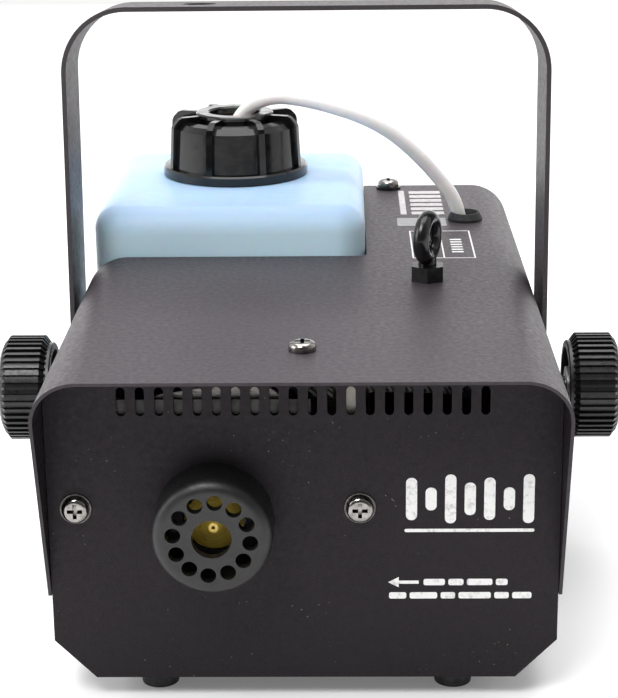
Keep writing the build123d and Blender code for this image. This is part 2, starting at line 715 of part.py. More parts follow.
# ---------------------------------------------------------------- bracket, knobs and eye bolt
def make_bracket():
    leg_low = -BRACKET_EAR
    with BuildPart() as bracket:
        with BuildSketch(section_at(-BRACKET_WIDTH / 2)):
            add(arch(2 * BRACKET_OUTSIDE, BRACKET_RADIUS, leg_low, BRACKET_BEND))
            add(arch(2 * (BRACKET_OUTSIDE - BRACKET_SHEET), BRACKET_RADIUS - BRACKET_SHEET,
                     leg_low - 1, BRACKET_BEND - BRACKET_SHEET), mode=Mode.SUBTRACT)
        extrude(amount=-BRACKET_WIDTH)
        fillet(bracket.edges().filter_by(Axis.X).group_by(Axis.Z)[0], BRACKET_WIDTH / 2 - 0.5)
        with BuildSketch(Plane.YZ):
            Circle(BRACKET_HOLE)
        extrude(amount=CASE_WIDTH, both=True, mode=Mode.SUBTRACT)
        with BuildSketch(Plane.XY.offset(BRACKET_RADIUS)):
            with Locations((BAR_HOLE_X, 0)):
                Circle(BAR_HOLE_RADIUS)
        extrude(amount=-2 * BRACKET_SHEET, mode=Mode.SUBTRACT)
    leaning = bracket.part.rotate(Axis.X, -BRACKET_LEAN)
    save(leaning.moved(Location((0, PIVOT_Y, PIVOT_Z))), "bracket")

    washers = []
    nuts = []
    for side in (-1, 1):
        with BuildPart(facing_side(side * CASE_WIDTH / 2, PIVOT_Y, PIVOT_Z)) as washer:
            disc(10.0, 1.3)
            disc(RIVET_RADIUS + 2.3, 1.3, mode=Mode.SUBTRACT)
        washers.append(washer.part)
        with BuildPart(facing_side(side * CASE_WIDTH / 2, PIVOT_Y, PIVOT_Z)) as rivet_nut:
            disc(6.6, 0.6)
            with Locations((0, 0, -14)):
                disc(RIVET_RADIUS - 0.05, 14)
            with Locations((0, 0, -15)):
                disc(STUD_BORE, 16, mode=Mode.SUBTRACT)
        nuts.append(rivet_nut.part)
    group(washers, "bracket_washers")
    group(nuts, "rivet_nuts")


def make_knob(side, name):
    """Moulded knob with straight ribs, on a steel stud, with a loose washer at its hub."""
    plane = facing_side(side * KNOB_INSIDE, PIVOT_Y, PIVOT_Z)
    hub_radius = 7.0
    with BuildPart() as envelope:
        with BuildSketch(Plane.XZ):
            with BuildLine():
                Polyline((0, 0), (14.8, 0), (15.2, 0.4), (15.2, 1.3), (KNOB_RADIUS, 3.1),
                         (KNOB_RADIUS, 14.6), (16.4, 15.5), (15.6, 16.3), (13.6, 17.2),
                         (10.5, KNOB_LENGTH), (0, KNOB_LENGTH), close=True)
            make_face()
        revolve(axis=Axis.Z)
    with BuildPart() as core:
        with BuildSketch(Plane.XZ):
            with BuildLine():
                Polyline((0, 0), (14.8, 0), (15.2, 0.4), (15.2, 1.8), (KNOB_VALLEY - 0.3, 2.9),
                         (KNOB_VALLEY, 3.4), (KNOB_VALLEY, 14.4), (16.2, 15.4), (15.5, 16.3),
                         (13.6, 17.2), (10.5, KNOB_LENGTH), (0, KNOB_LENGTH), close=True)
            make_face()
        revolve(axis=Axis.Z)
    with BuildPart() as knob:
        with BuildSketch(Plane.XY.offset(1.0)):
            Circle(14.0)
            with PolarLocations((KNOB_RADIUS + 12.0) / 2, KNOB_RIBS):
                Rectangle(KNOB_RADIUS - 12.0, KNOB_RIB_WIDTH)
        extrude(amount=KNOB_LENGTH - 2.4)
        add(envelope.part, mode=Mode.INTERSECT)
        add(core.part)
        # Hollow behind the rim, with a hub that carries the stud, and a dished outer face
        with BuildSketch(Plane.XY):
            Circle(12.8)
            Circle(hub_radius, mode=Mode.SUBTRACT)
        extrude(amount=9.0, mode=Mode.SUBTRACT)
        with BuildSketch(Plane.XY):
            Circle(hub_radius)
        extrude(amount=1.5, mode=Mode.SUBTRACT)
        with BuildSketch(Plane.XY.offset(KNOB_LENGTH)):
            Circle(8.5)
        extrude(amount=-1.0, taper=40, mode=Mode.SUBTRACT)
        with BuildSketch(Plane.XY):
            Circle(STUD_RADIUS)
        extrude(amount=13.0, mode=Mode.SUBTRACT)
    save(knob.part.moved(plane.location), name)
    with BuildPart() as stud:
        with BuildSketch(Plane.XY.offset(-(KNOB_INSIDE - STUD_END))):
            Circle(STUD_RADIUS)
        extrude(amount=KNOB_INSIDE - STUD_END + 13.0)
        chamfer(stud.edges().group_by(Axis.Z)[0], 0.6)
    save(stud.part.moved(plane.location), name.replace("knob", "knob_stud"))
    with BuildPart() as washer:
        with BuildSketch(Plane.XY.offset(0.1)):
            Circle(6.2)
            Circle(STUD_BORE, mode=Mode.SUBTRACT)
        extrude(amount=1.0)
    save(washer.part.moved(plane.location), name.replace("knob", "knob_washer"))


def make_eye_bolt():
    ring_z = EYE_TOP - EYE_WIRE - EYE_MEAN_RADIUS
    with BuildPart(upright(EYE_X, EYE_Y, 0).rotated((0, 0, EYE_TURN))) as eye_bolt:
        with Locations((0, 0, ring_z)):
            Torus(EYE_MEAN_RADIUS, EYE_WIRE, rotation=(0, 90, 0))
        with Locations((0, 0, 92.0)):
            disc(2.9, ring_z - EYE_MEAN_RADIUS - 92.0)
        # Gap where the bent wire's end meets the shank
        with Locations((0, -2.6, ring_z - EYE_MEAN_RADIUS + 0.6)):
            Box(8.0, 0.5, 5.4, rotation=(-38, 0, 0), mode=Mode.SUBTRACT)
    save(eye_bolt.part, "eye_bolt")
    group([nut(upright(EYE_X, EYE_Y, CASE_TOP).rotated((0, 0, EYE_HEX_TURN)), 10.0,
               EYE_NUT_HEIGHT, 3.0),
           nut(upright(EYE_X, EYE_Y, INNER_TOP - 6.0), 10.0, 6.0, 3.0)], "eye_bolt_nuts")


# ---------------------------------------------------------------- pump
def make_pump():
    axis_plane = upright(PUMP_X, PUMP_Y, 0)
    with BuildPart(axis_plane) as body:
        for radius, low, high in ((9.5, 20.0, 34.5), (6.5, 34.5, 68.0), (9.5, 66.2, 70.0),
                                  (4.0, 70.0, 79.0)):
            with Locations((0, 0, low)):
                disc(radius, high - low)
        with BuildSketch(facing_front(PUMP_X, PUMP_Y, PUMP_OUTLET_Z)):
            Circle(4.5)
        extrude(amount=12.0)
        with BuildSketch(facing_front(PUMP_X, PUMP_Y - 12.0, PUMP_OUTLET_Z)):
            RegularPolygon(4.5, 6, major_radius=False)
        extrude(amount=9.0)
        with BuildSketch(facing_front(PUMP_X, PUMP_Y - 18.0, PUMP_OUTLET_Z)):
            Circle(TUBE_RADIUS + 0.3)
        extrude(amount=6.0, mode=Mode.SUBTRACT)
        with BuildSketch(upright(PUMP_X, PUMP_Y, 79.0)):
            RegularPolygon(4.5, 6, major_radius=False)
        extrude(amount=8.0)
        with Locations((0, 0, 83.0)):
            disc(TUBE_RADIUS + 0.4, 10.0, mode=Mode.SUBTRACT)
        with Locations((0, 0, 34.0)):
            disc(PUMP_BORE, 32.0, mode=Mode.SUBTRACT)
        with Locations((0, 0, 60.0)):
            disc(1.2, 22.0, mode=Mode.SUBTRACT)
        with Locations((0, 0, PUMP_OUTLET_Z)):
            disc(1.2, 12.0, mode=Mode.SUBTRACT)
    save(body.part, "pump_body")

    with BuildPart(axis_plane) as plunger:
        with Locations((0, 0, 48.0)):
            disc(PUMP_BORE - 0.05, 17.0)
            disc(1.5, 17.0, mode=Mode.SUBTRACT)
    save(plunger.part, "pump_plunger")

    with BuildPart() as spring:
        with BuildLine() as coil_line:
            Helix(pitch=2.4, height=12.6, radius=3.9)
        with BuildSketch(Plane(origin=coil_line.line @ 0, z_dir=coil_line.line % 0)):
            Circle(0.4)
        sweep(is_frenet=True)
    save(spring.part.moved(Location((PUMP_X, PUMP_Y, 34.5))), "pump_spring")

    with BuildPart(axis_plane) as coil:
        for radius, low, high in ((14.0, 36.2, 37.7), (13.0, 37.7, 62.3), (14.0, 62.3, 63.8)):
            with Locations((0, 0, low)):
                disc(radius, high - low)
        with Locations((0, 0, 36.0)):
            disc(6.7, 30.0, mode=Mode.SUBTRACT)
    save(coil.part, "pump_coil")

    with BuildPart() as frame:
        block((PUMP_X - 18, PUMP_X + 18), (PUMP_Y - 13, PUMP_Y + 13), (34.6, 66.0))
        block((PUMP_X - 16, PUMP_X + 16), (PUMP_Y - 14, PUMP_Y + 14), (36.1, 64.0),
              mode=Mode.SUBTRACT)
        with BuildSketch(upright(PUMP_X, PUMP_Y, 30)):
            Circle(6.7)
        extrude(amount=40, mode=Mode.SUBTRACT)
    save(frame.part, "pump_frame")

    mounts = []
    for z in (43.0, 57.0):
        with BuildPart(Plane.YZ.offset(PUMP_X - 20.5)) as bush:
            with BuildSketch(Plane.YZ.offset(PUMP_X - 20.5)):
                with Locations((PUMP_Y, z)):
                    Circle(5.0)
            extrude(amount=2.5)
        mounts.append(bush.part)
    group(mounts, "pump_mounts")
    with BuildPart() as bracket:
        block((PUMP_X - 21.7, PUMP_X - 20.5), (PUMP_Y - 10, PUMP_Y + 10), (FLOOR, 63.0))
        block((PUMP_X - 21.7, PUMP_X - 10), (PUMP_Y - 10, PUMP_Y + 10), (FLOOR, FLOOR + 1.2))
    save(bracket.part, "pump_bracket")


# ---------------------------------------------------------------- electrics
def make_inlet():
    left, right = REAR_X - 13.8, REAR_X + 13.8
    with BuildPart() as inlet:
        with BuildSketch(section_at(REAR_FACE)) as flange:
            with Locations((REAR_X, INLET_Z)):
                RectangleRounded(50.0, 32.5, 4.0)
        extrude(amount=-2.6)
        block((left, right), (REAR_FACE - 24, REAR_FACE + 0.2), (INLET_Z - 15.0, INLET_Z + 15.0))
        # Six-sided socket cavity, and the drawer's pocket under it
        with BuildSketch(section_at(REAR_FACE - 14)) as cavity:
            with Locations((REAR_X, SOCKET_Z)):
                Rectangle(24.4, 16.4)
            chamfer(cavity.vertices().group_by(Axis.Y)[-1], 4.6)
        extrude(amount=-20, mode=Mode.SUBTRACT)
        block((REAR_X - 10.8, REAR_X + 10.8), (REAR_FACE - 20, REAR_FACE + 5),
              (DRAWER_Z - 3.6, DRAWER_Z + 3.6), mode=Mode.SUBTRACT)
        with BuildSketch(section_at(REAR_FACE - 1)):
            with Locations((REAR_X - 20, INLET_Z), (REAR_X + 20, INLET_Z)):
                Circle(M3_HOLE)
        extrude(amount=-6, mode=Mode.SUBTRACT)
    save(inlet.part, "mains_inlet")

    pins = []
    for x, z in ((REAR_X - 7, SOCKET_Z - 1.5), (REAR_X, SOCKET_Z + 2.5), (REAR_X + 7, SOCKET_Z - 1.5)):
        with BuildPart() as pin:
            block((x - 1, x + 1), (REAR_FACE - 14, REAR_FACE - 0.5), (z - 2, z + 2))
        pins.append(pin.part)
    group(pins, "inlet_pins")

    with BuildPart() as drawer:
        block((REAR_X - 10.4, REAR_X + 10.4), (REAR_FACE - 19, REAR_FACE + 2.6),
              (DRAWER_Z - 3.2, DRAWER_Z + 3.2))
        block((REAR_X - 10.0, REAR_X + 10.0), (REAR_FACE - 12, REAR_FACE - 6),
              (DRAWER_Z - 2.6, DRAWER_Z + 5), mode=Mode.SUBTRACT)
        block((REAR_X - 7.0, REAR_X + 7.0), (REAR_FACE + 2.6, REAR_FACE + 3.8),
              (DRAWER_Z + 1.4, DRAWER_Z + 2.8))
    save(drawer.part, "fuse_drawer")
    with BuildPart() as fuse:
        with BuildSketch(Plane.YZ.offset(REAR_X - 10.0)):
            with Locations((REAR_FACE - 9, DRAWER_Z)):
                Circle(2.55)
        extrude(amount=20.0)
    save(fuse.part, "fuse")
    group([screw(facing_rear(x, REAR_FACE + 2.6, INLET_Z), 2.7, 1.6, M3_SHANK, 8.0, cross=False)
           for x in (REAR_X - 20, REAR_X + 20)], "inlet_screws")


def make_switch():
    with BuildPart() as bezel:
        block((REAR_X - 10.6, REAR_X + 10.6), (REAR_FACE, REAR_FACE + 1.6),
              (SWITCH_Z - 8.6, SWITCH_Z + 8.6))
        block((REAR_X - 9.5, REAR_X + 9.5), (REAR_FACE - 16, REAR_FACE + 0.2),
              (SWITCH_Z - 7.5, SWITCH_Z + 7.5))
        block((REAR_X - 8.3, REAR_X + 8.3), (REAR_FACE - 8.2, REAR_FACE + 3),
              (SWITCH_Z - 6.6, SWITCH_Z + 6.6), mode=Mode.SUBTRACT)
    save(bezel.part, "switch_bezel")
    with BuildPart() as rocker:
        with BuildSketch(Plane.YZ.offset(REAR_X - 7.9)):
            with Locations((ROCKER_PIVOT_Y, SWITCH_Z)):
                Circle(5.6)
                Rectangle(4.5, 11.2, align=(Align.MIN, Align.CENTER))
            Polygon((ROCKER_PIVOT_Y + 4.4, SWITCH_Z - 5.6), (ROCKER_PIVOT_Y + 5.3, SWITCH_Z - 5.6),
                    (ROCKER_PIVOT_Y + 4.5, SWITCH_Z), (ROCKER_PIVOT_Y + 5.3, SWITCH_Z + 5.6),
                    (ROCKER_PIVOT_Y + 4.4, SWITCH_Z + 5.6), align=None)
        extrude(amount=15.8)
    tilted = rocker.part.rotate(Axis((0, ROCKER_PIVOT_Y, SWITCH_Z), (1, 0, 0)), -ROCKER_TILT)
    save(tilted, "switch_rocker")


def make_remote_socket():
    with BuildPart() as socket:
        with BuildSketch(facing_rear(REAR_X, REAR_FACE, REMOTE_Z)):
            RegularPolygon(9.5, 6, major_radius=False)
        extrude(amount=2.2)
        with BuildSketch(facing_rear(REAR_X, REAR_FACE - 12, REMOTE_Z)):
            Circle(7.0)
        extrude(amount=REMOTE_END - REAR_FACE + 12)
        with BuildSketch(facing_rear(REAR_X, REAR_FACE - 4, REMOTE_Z)):
            Circle(5.6)
        extrude(amount=20, mode=Mode.SUBTRACT)
        with BuildSketch(facing_rear(REAR_X, REAR_FACE - 5, REMOTE_Z)):
            with PolarLocations(3.4, 3, start_angle=90):
                Circle(0.9)
        extrude(amount=8.5)
    save(socket.part, "remote_socket")


def make_circuit_board():
    with BuildPart() as board:
        block((64.0, 65.6), (-80, -20), (22, 78))
    save(board.part, "circuit_board")
    parts = []
    for x_low, y_range, z_range in ((49.0, (-62, -42), (30, 46)), (54.0, (-76, -62), (52, 65.8)),
                                    (51.0, (-34, -22), (22.5, 31)), (58.0, (-58, -48), (56, 70)),
                                    (60.0, (-40, -26), (50, 60))):
        with BuildPart() as component:
            block((x_low, 64.0), y_range, z_range)
        parts.append(component.part)
    group(parts, "board_components")
    posts = []
    for y in (-76.0, -24.0):
        for z in (26.0, 40.0):
            with BuildPart(Plane.YZ.offset(65.6)) as post:
                with Locations((y, z, 0)):
                    disc(2.5, PANEL_WIDTH / 2 - PANEL_SHEET - 65.6)
            posts.append(post.part)
    group(posts, "board_standoffs")


def make_terminal_block():
    with BuildPart() as terminal:
        block((9.7, 17.7), (PANEL_BACK + 1.9, PANEL_BACK + 14), (86.0, INNER_TOP - PANEL_SHEET))
        with BuildSketch(Plane.XY.offset(86.0)):
            with Locations((13.7, -96.5), (13.7, -91.5)):
                Circle(1.4)
        extrude(amount=6, mode=Mode.SUBTRACT)
    save(terminal.part, "terminal_block")


make_cover()
make_base_pan()
make_front_panel()
make_rear_panel()
make_feet()
make_case_screws()
make_nozzle_shroud()
make_nozzle()
make_heater()
make_tank()
make_tank_cap()
make_pickup_filter()
make_grommet()
make_tank_tray()
make_bracket()
make_knob(-1, "knob_left")
make_knob(1, "knob_right")
make_eye_bolt()
make_pump()
make_inlet()
make_switch()
make_remote_socket()
make_circuit_board()
make_terminal_block()
save(hose(SUPPLY_ROUTE, TUBE_RADIUS, "supply_tube"), "supply_tube")
save(hose(DELIVERY_ROUTE, TUBE_RADIUS, "delivery_tube"), "delivery_tube")
group([hose(HEATER_LEAD_ROUTE, SLEEVE_RADIUS, "heater_lead"),
       hose(BOARD_LEAD_ROUTE, SLEEVE_RADIUS, "board_lead")], "heater_leads")
save(hose(MAINS_LOOM_ROUTE, SLEEVE_RADIUS, "mains_loom"), "mains_loom")
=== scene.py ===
from math import cos, pi, radians, sin

import bmesh
import bpy
from mathutils import Matrix, Vector


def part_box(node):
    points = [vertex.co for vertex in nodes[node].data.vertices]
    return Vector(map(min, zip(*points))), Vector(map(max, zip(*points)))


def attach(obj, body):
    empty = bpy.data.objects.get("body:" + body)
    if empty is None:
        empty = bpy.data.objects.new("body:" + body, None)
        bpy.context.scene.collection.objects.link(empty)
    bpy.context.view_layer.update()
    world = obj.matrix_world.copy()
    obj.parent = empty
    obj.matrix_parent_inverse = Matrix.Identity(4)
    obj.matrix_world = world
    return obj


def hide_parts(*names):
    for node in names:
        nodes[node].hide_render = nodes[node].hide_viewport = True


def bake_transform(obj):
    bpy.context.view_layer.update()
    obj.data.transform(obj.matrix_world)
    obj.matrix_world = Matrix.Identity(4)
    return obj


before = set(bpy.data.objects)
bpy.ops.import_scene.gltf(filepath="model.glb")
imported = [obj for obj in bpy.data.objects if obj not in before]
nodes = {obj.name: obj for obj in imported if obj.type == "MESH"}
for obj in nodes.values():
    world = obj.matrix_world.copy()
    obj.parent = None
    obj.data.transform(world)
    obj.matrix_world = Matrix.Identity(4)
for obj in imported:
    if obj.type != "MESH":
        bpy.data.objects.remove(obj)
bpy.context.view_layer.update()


# ---------------------------------------------------------------- material tools
class Look:
    """One node material: the Principled shader, plus short calls for the textures that feed it."""

    def __init__(self, name, **sockets):
        self.material = bpy.data.materials.new(name)
        self.material.use_nodes = True
        self.tree = self.material.node_tree
        self.shader = self.tree.nodes["Principled BSDF"]
        for socket, value in sockets.items():
            self.shader.inputs[socket.replace("_", " ")].default_value = value
        self.where = self.tree.nodes.new("ShaderNodeTexCoord").outputs["Object"]

    def node(self, kind, **values):
        made = self.tree.nodes.new(kind)
        for key, value in values.items():
            if key.startswith("in_"):
                made.inputs[key[3:].replace("_", " ")].default_value = value
            else:
                setattr(made, key, value)
        return made

    def link(self, source, target):
        self.tree.links.new(source, target)

    def noise(self, scale, detail=3.0, roughness=0.55):
        made = self.node("ShaderNodeTexNoise", in_Scale=scale, in_Detail=detail,
                         in_Roughness=roughness)
        self.link(self.where, made.inputs["Vector"])
        return made.outputs["Fac"]

    def stretched(self, scales, scale, detail=3.0):
        """Noise drawn out along one axis, as in a brushed or turned surface."""
        mapping = self.node("ShaderNodeMapping", in_Scale=scales)
        self.link(self.where, mapping.inputs["Vector"])
        made = self.node("ShaderNodeTexNoise", in_Scale=scale, in_Detail=detail)
        self.link(mapping.outputs["Vector"], made.inputs["Vector"])
        return made.outputs["Fac"]

    def cells(self, scale):
        """Distance from the centres of scattered cells."""
        made = self.node("ShaderNodeTexVoronoi", in_Scale=scale)
        self.link(self.where, made.inputs["Vector"])
        return made.outputs["Distance"]

    def ramp(self, source, *stops):
        made = self.node("ShaderNodeValToRGB")
        band = made.color_ramp
        while len(band.elements) < len(stops):
            band.elements.new(0.5)
        for element, (place, colour) in zip(band.elements, stops):
            element.position = place
            element.color = (*colour, 1)
        self.link(source, made.inputs["Fac"])
        return made.outputs["Color"]

    def grey(self, source, low, high, start=0.3, end=0.7):
        """Maps a texture to a number between two values."""
        made = self.node("ShaderNodeMapRange", in_From_Min=start, in_From_Max=end,
                         in_To_Min=low, in_To_Max=high)
        self.link(source, made.inputs["Value"])
        return made.outputs["Result"]

    def mix(self, factor, first, second):
        """Blends two colours by a linked factor; each colour is a socket or three numbers."""
        made = self.node("ShaderNodeMix", data_type="RGBA")
        for value, place in ((factor, 0), (first, 6), (second, 7)):
            socket = made.inputs[place]
            if isinstance(value, bpy.types.NodeSocket):
                self.link(value, socket)
            else:
                socket.default_value = (*value, 1)
        return made.outputs[2]

    def painted_shade(self, source, floor, reach):
        """Painted shade: darkens a colour in grooves and recesses, where shadow falls, from an
        ambient occlusion node.
        """
        made = self.node("ShaderNodeAmbientOcclusion", samples=8, in_Distance=reach)
        return self.mix(self.grey(made.outputs["AO"], floor, 1.0, 0.25, 0.95), (0, 0, 0), source)

    def colour(self, source):
        self.link(source, self.shader.inputs["Base Color"])

    def rough(self, source):
        self.link(source, self.shader.inputs["Roughness"])

    def bump(self, source, strength, distance, under=None):
        made = self.node("ShaderNodeBump", in_Strength=strength, in_Distance=distance)
        self.link(source, made.inputs["Height"])
        if under is not None:
            self.link(under, made.inputs["Normal"])
        self.link(made.outputs["Normal"], self.shader.inputs["Normal"])
        return made.outputs["Normal"]


def powder_coat(name, low, high, speck, shine, side=None):
    """Textured black paint with specks and dust; side is painted shade, the darker colour given to
    faces that don't face up.
    """
    look = Look(name, Roughness=0.45, IOR=1.5, Specular_IOR_Level=shine)
    clouds = look.noise(9.0, 4.0)
    base = look.ramp(clouds, (0.3, low), (0.7, high))
    grain = look.noise(1900.0, 2.0, 0.6)
    coarse = look.noise(620.0, 3.0, 0.6)
    base = look.mix(look.grey(grain, 0.0, 0.30, 0.35, 0.75), base, speck)
    dust = look.grey(look.cells(430.0), 1.0, 0.0, 0.05, 0.10)
    patch = look.grey(look.noise(60.0, 2.0), 0.0, 0.8, 0.52, 0.66)
    both = look.node("ShaderNodeMath", operation="MULTIPLY")
    look.link(dust, both.inputs[0])
    look.link(patch, both.inputs[1])
    base = look.mix(both.outputs[0], base, (0.22, 0.21, 0.20))
    # Painted shade: faces that don't face up turn toward the side colour, as they catch less light
    if side is not None:
        facing = look.node("ShaderNodeSeparateXYZ")
        look.link(look.node("ShaderNodeNewGeometry").outputs["Normal"], facing.inputs[0])
        base = look.mix(look.grey(facing.outputs["Z"], 0.0, 1.0, 0.3, 0.8), side, base)
    look.colour(base)
    look.rough(look.grey(coarse, 0.38, 0.58))
    under = look.bump(coarse, 0.35, 0.00012)
    look.bump(grain, 0.5, 0.00008, under)
    look.shader.inputs["Specular Tint"].default_value = (1.0, 0.88, 0.98, 1)
    return look.material


# ---------------------------------------------------------------- materials
# Each row: material name, grain, the two colours that the grain runs between, roughness as
# (grain, low, high) or None where it is even, bump as (grain, strength, depth in metres), and the
# shader's own sockets
PLAIN_LOOKS = {
    "dark_steel": ("dark_steel", 160.0, (0.014, 0.014, 0.014), (0.045, 0.044, 0.043),
                   (500.0, 0.4, 0.6), (900.0, 0.2, 0.0001), dict(Metallic=0.6)),
    "flange": ("dark_nickel", 500.0, (0.05, 0.048, 0.046), (0.16, 0.15, 0.145),
               (1200.0, 0.2, 0.4), (1500.0, 0.15, 0.00005), dict(Metallic=1.0)),
    "enamel": ("black_enamel", 250.0, (0.004, 0.004, 0.0045), (0.010, 0.010, 0.011),
               (500.0, 0.12, 0.28), (420.0, 0.22, 0.0002), dict(Roughness=0.2, IOR=1.5)),
    "rubber": ("black_rubber", 380.0, (0.008, 0.008, 0.009), (0.022, 0.021, 0.021),
               (900.0, 0.55, 0.85), (1600.0, 0.3, 0.0001), dict(Roughness=0.75)),
    "shroud": ("shroud_plastic", 200.0, (0.0050, 0.0048, 0.0052), (0.0100, 0.0095, 0.0102),
               (900.0, 0.34, 0.50), (1500.0, 0.4, 0.0001), dict(Roughness=0.55)),
    "red": ("rocker_red", 200.0, (0.26, 0.012, 0.010), (0.38, 0.020, 0.016),
            None, (800.0, 0.1, 0.0001), dict(Roughness=0.25)),
    "cast": ("cast_aluminium", 300.0, (0.42, 0.42, 0.42), (0.62, 0.62, 0.61),
             (800.0, 0.4, 0.6), (900.0, 0.5, 0.0003), dict(Metallic=1.0)),
    "ceramic": ("ceramic", 200.0, (0.62, 0.58, 0.50), (0.78, 0.75, 0.68),
                None, (1200.0, 0.25, 0.0001), dict(Roughness=0.6)),
    "nylon": ("white_nylon", 150.0, (0.66, 0.65, 0.62), (0.78, 0.77, 0.74),
              None, (900.0, 0.15, 0.0001),
              dict(Roughness=0.5, Subsurface_Weight=0.25, Subsurface_Scale=0.002)),
    "silicone": ("silicone", 120.0, (0.86, 0.85, 0.84), (0.94, 0.93, 0.92),
                 (500.0, 0.28, 0.45), (300.0, 0.12, 0.0002),
                 dict(Roughness=0.35, IOR=1.42, Transmission_Weight=0.2,
                      Subsurface_Weight=0.4, Subsurface_Scale=0.002)),
    "part": ("component_black", 200.0, (0.010, 0.010, 0.011), (0.026, 0.025, 0.026),
             None, (1100.0, 0.2, 0.0001), dict(Roughness=0.5)),
    "glass": ("fuse_glass", 90.0, (0.78, 0.84, 0.83), (0.88, 0.92, 0.91),
              None, (150.0, 0.05, 0.0001), dict(Roughness=0.05, Transmission_Weight=0.9, IOR=1.5)),
    "silver": ("silver_print", 420.0, (0.42, 0.39, 0.40), (0.60, 0.57, 0.58),
               (800.0, 0.32, 0.5), (1400.0, 0.2, 0.00005), dict(Roughness=0.4, Metallic=0.3)),
    "foil": ("grey_label", 300.0, (0.26, 0.26, 0.27), (0.36, 0.36, 0.37),
             None, (1300.0, 0.15, 0.00005), dict(Roughness=0.45)),
}


def plain_look(name, grain, low, high, rough, bump, sockets):
    look = Look(name, **sockets)
    look.colour(look.ramp(look.noise(grain), (0.3, low), (0.7, high)))
    if rough:
        look.rough(look.grey(look.noise(rough[0]), *rough[1:]))
    look.bump(look.noise(bump[0]), *bump[1:])
    return look.material


# Heights between which the tank's pale wall turns into its deeper blue top: painted light, the wall
# in shade painted paler and the brightly lit top painted deeper
TANK_PAINTED_LIGHT_FADE = (0.112, 0.120)


